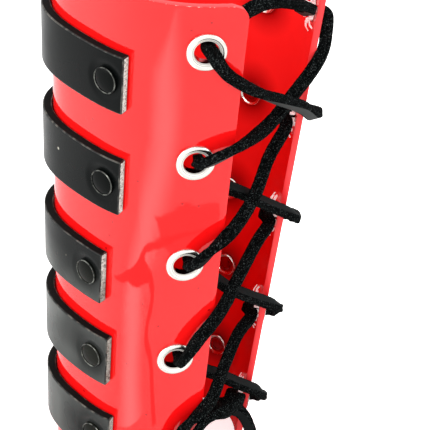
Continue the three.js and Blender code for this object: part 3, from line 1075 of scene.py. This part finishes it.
def add_petals(model, finish):
    """The back of an eyelet, split by its setting tool into tongues that curl over on the inner face.

    Sines of the tongue's number make each one's width, length and curl its own.
    """
    shape = bmesh.new()
    shape.from_mesh(model.data)
    petals = []
    for k in range(PETALS):
        first = math.tau * k / PETALS
        wide = math.tau / PETALS * (0.66 + 0.26 * math.sin(k * 2.3))
        long = 1.7 + 0.8 * math.sin(k * 4.1 + 1)
        curl = 1 + 0.5 * math.sin(k * 3.3)
        rows = []
        for reach, height, narrow, aside in (
            (3.7, -0.3, 1.0, 0),
            (4.0, -0.7 - 0.4 * curl, 1.0, 0.05),
            (4.6, -1.2 - 0.6 * curl, 0.9, 0.1),
            (5.2 + long * 0.5, -1.1 - 0.5 * curl, 0.75, 0.15),
            (5.4 + long, -0.5 - 0.3 * curl, 0.4, 0.2),
        ):
            row = []
            for s in (-0.5, 0, 0.5):
                a = first + wide * (0.5 + s * narrow) + aside * math.sin(k * 5.7)
                place = Vector((reach * math.cos(a), reach * math.sin(a), height - WALL))
                row.append(shape.verts.new(place * MM))
            rows.append(row)
        for one, two in zip(rows, rows[1:]):
            for j in range(2):
                petals.append(shape.faces.new((one[j], one[j + 1], two[j + 1], two[j])))
                petals[-1].material_index = finish
    shape.normal_update()
    bmesh.ops.solidify(shape, geom=petals, thickness=PETAL_THICK * MM)
    bmesh.ops.recalc_face_normals(shape, faces=shape.faces)
    shape.to_mesh(model.data)
    shape.free()


def add_hardware():
    silver = ((0.56, 0.55, 0.5), (0.72, 0.71, 0.66))
    nickel = make_grained("bright_nickel", 1800, *silver, (0.05, 0.0001), 0.2, (0.14, 0.3), metallic=1.0)
    # Painted reflection: the rivet backs and the eyelet barrels are painted red, standing in for the red
    # lining that their nickel mirrors.
    painted_red_reflection = ((0.22, 0.012, 0.014), (0.36, 0.025, 0.026))
    painted_reflection_metal = make_grained("metal_with_painted_red_reflection", 1500, *painted_red_reflection, (0.1, 0.0001), 0.16, metallic=1.0)
    add_rivets(nickel, painted_reflection_metal)
    add_eyelets(nickel, painted_reflection_metal)


# Floor and light
def add_floor():
    floor = start(bpy.ops.mesh.primitive_plane_add, size=FLOOR_SIZE)
    floor.name = "floor"
    floor.data.materials.append(make_floor_paint())


def add_light():
    world = bpy.data.worlds.new("studio")
    world.use_nodes = True
    backdrop = world.node_tree.nodes["Background"].inputs
    backdrop["Color"].default_value = (1, 1, 1, 1)
    backdrop["Strength"].default_value = WORLD_BRIGHT
    bpy.context.scene.world = world
    bpy.context.scene.view_settings.view_transform = "Standard"
    for name, place, wide, high, power in LAMPS:
        data = bpy.data.lights.new(name, "AREA")
        data.shape = "RECTANGLE"
        data.size, data.size_y = wide, high
        data.energy = power
        lamp = linked(name, data)
        lamp.location = place
        lamp.rotation_euler = (Vector(LAMP_AIM) - Vector(place)).to_track_quat("-Z", "Y").to_euler()
        lamp.visible_camera = False


# What the gloss mirrors: a strip light and some dark cards, which lie on the floor and only reflections show.
# Each row of a strip is a place on the floor and the strip's half width there.
GLOW_BRIGHT = 3.9
GLOW_LIFT = 0.8
CARD_LIFT = 1.2
PATCH_BRIGHT = 0.85
LINE_BRIGHT = 0.6
STRIP_STEP = 4
GLOW = [
    (-322, -110, 100),
    (-295, -113, 100),
    (-256, -118, 100),
    (-222, -120, 92),
    (-199, -88, 78),
    (-183, -52, 66),
    (-165, -39, 52),
    (-142, -11, 42),
    (-118, -18, 37),
    (-95, -18, 31),
    (-72, -20, 24),
    (-63, -20, 22),
]
LINES = [
    [
        (-24, -178, 1),
        (-57, -169, 1.2),
        (-85, -156, 1.4),
        (-113, -135, 1.6),
        (-145, -96, 2.5),
        (-163, -52, 3),
        (-162, -38, 4),
    ],
    [
        (-137, -65, 6),
        (-125, -70, 5),
        (-116, -66, 5),
        (-107, -53, 4),
        (-99, -52, 4),
        (-87, -57, 3.4),
        (-70, -55, 3),
        (-48, -45, 2.2),
    ],
]
PATCH = [
    (-174, -74),
    (-153, -114),
    (-130, -146),
    (-109, -166),
    (-61, -188),
    (-42, -191),
    (-35, -186),
    (-35, -180),
    (-58, -174),
    (-85, -163),
    (-122, -140),
    (-150, -109),
    (-165, -85),
]
CREASE = [
    (-133, 58),
    (-152, 19),
    (-160, -10),
    (-166, -36),
    (-156, -50),
    (-147, -62),
    (-139, -71),
    (-133, -70),
    (-140, -46),
    (-145, 9),
]


def glowing(name):
    """A new material with an empty tree."""
    made = bpy.data.materials.new(name)
    made.use_nodes = True
    made.node_tree.nodes.clear()
    return made, made.node_tree


def emission(tree, bright):
    return node(tree, "ShaderNodeEmission", {"Color": (1, 1, 1, 1), "Strength": bright}).outputs[0]


def make_strip_light():
    """Brightest along its middle and nothing at its two sides, by its own UV map."""
    made, tree = glowing("strip_light")
    uv = own_uv(tree)
    beyond = math_node(tree, "MAXIMUM", off_middle(tree, uv["X"]), ramp(tree, uv["Y"], 0.12, 0, 0, 0.5))
    inputs = {"Value": beyond, "From Min": 0.5, "From Max": 0.0}
    soft = node(tree, "ShaderNodeMapRange", inputs, interpolation_type="SMOOTHSTEP").outputs["Result"]
    clear = node(tree, "ShaderNodeBsdfTransparent").outputs[0]
    both = node(tree, "ShaderNodeMixShader", {0: soft, 1: clear, 2: emission(tree, GLOW_BRIGHT)})
    node(tree, "ShaderNodeOutputMaterial", {"Surface": both.outputs[0]})
    return made


def make_card(name, bright):
    made, tree = glowing(name)
    node(tree, "ShaderNodeOutputMaterial", {"Surface": emission(tree, bright)})
    return made


def floor_place(x, y, lift):
    return Vector((x + ORIGIN_SHIFT[0], y + ORIGIN_SHIFT[1], lift)) * MM


def add_reflected(name, maker, finish):
    """A studio piece that only reflections show."""
    mesh = bpy.data.meshes.new(name)
    maker.to_mesh(mesh)
    maker.free()
    mesh.materials.append(finish)
    thing = linked(name, mesh)
    thing.visible_camera = False
    thing.visible_diffuse = False
    thing.visible_transmission = False
    thing.visible_volume_scatter = False
    thing.visible_shadow = False


def add_strip(name, rows, lift, finish):
    line = rounded_path([floor_place(x, y, lift) for x, y, _ in rows], STRIP_STEP * MM)
    maker = bmesh.new()
    layer = maker.loops.layers.uv.new("strip")
    pairs = []
    for i, (place, share) in enumerate(line):
        along = (line[min(i + 1, len(line) - 1)][0] - line[max(i - 1, 0)][0]).normalized()
        low = min(int(share), len(rows) - 2)
        half = (rows[low][2] + (rows[low + 1][2] - rows[low][2]) * (share - low)) * MM
        aside = Vector((-along.y, along.x, 0)) * half
        left, right = maker.verts.new(place + aside), maker.verts.new(place - aside)
        pairs.append((left, right, share / (len(rows) - 1)))
    for (a, b, low), (c, d, high) in zip(pairs, pairs[1:]):
        face = maker.faces.new((a, b, d, c))
        for loop, place in zip(face.loops, ((0, low), (1, low), (1, high), (0, high))):
            loop[layer].uv = place
    add_reflected(name, maker, finish)


def add_patch(name, outline, lift, finish):
    maker = bmesh.new()
    maker.faces.new([maker.verts.new(floor_place(x, y, lift)) for x, y in outline])
    bmesh.ops.triangulate(maker, faces=maker.faces)
    add_reflected(name, maker, finish)


def add_reflections():
    add_strip("strip_light", GLOW, GLOW_LIFT, make_strip_light())
    line_card = make_card("card_dark", LINE_BRIGHT)
    for i, rows in enumerate(LINES):
        add_strip(f"line_card_{i + 1}", rows, CARD_LIFT, line_card)
    add_patch("crease_card", CREASE, CARD_LIFT + 0.1, line_card)
    add_patch("patch_card", PATCH, CARD_LIFT - 0.2, make_card("card_grey", PATCH_BRIGHT))


add_camera()
add_lace()
add_sheet()
add_straps()
add_hardware()
add_floor()
add_reflections()
add_light()
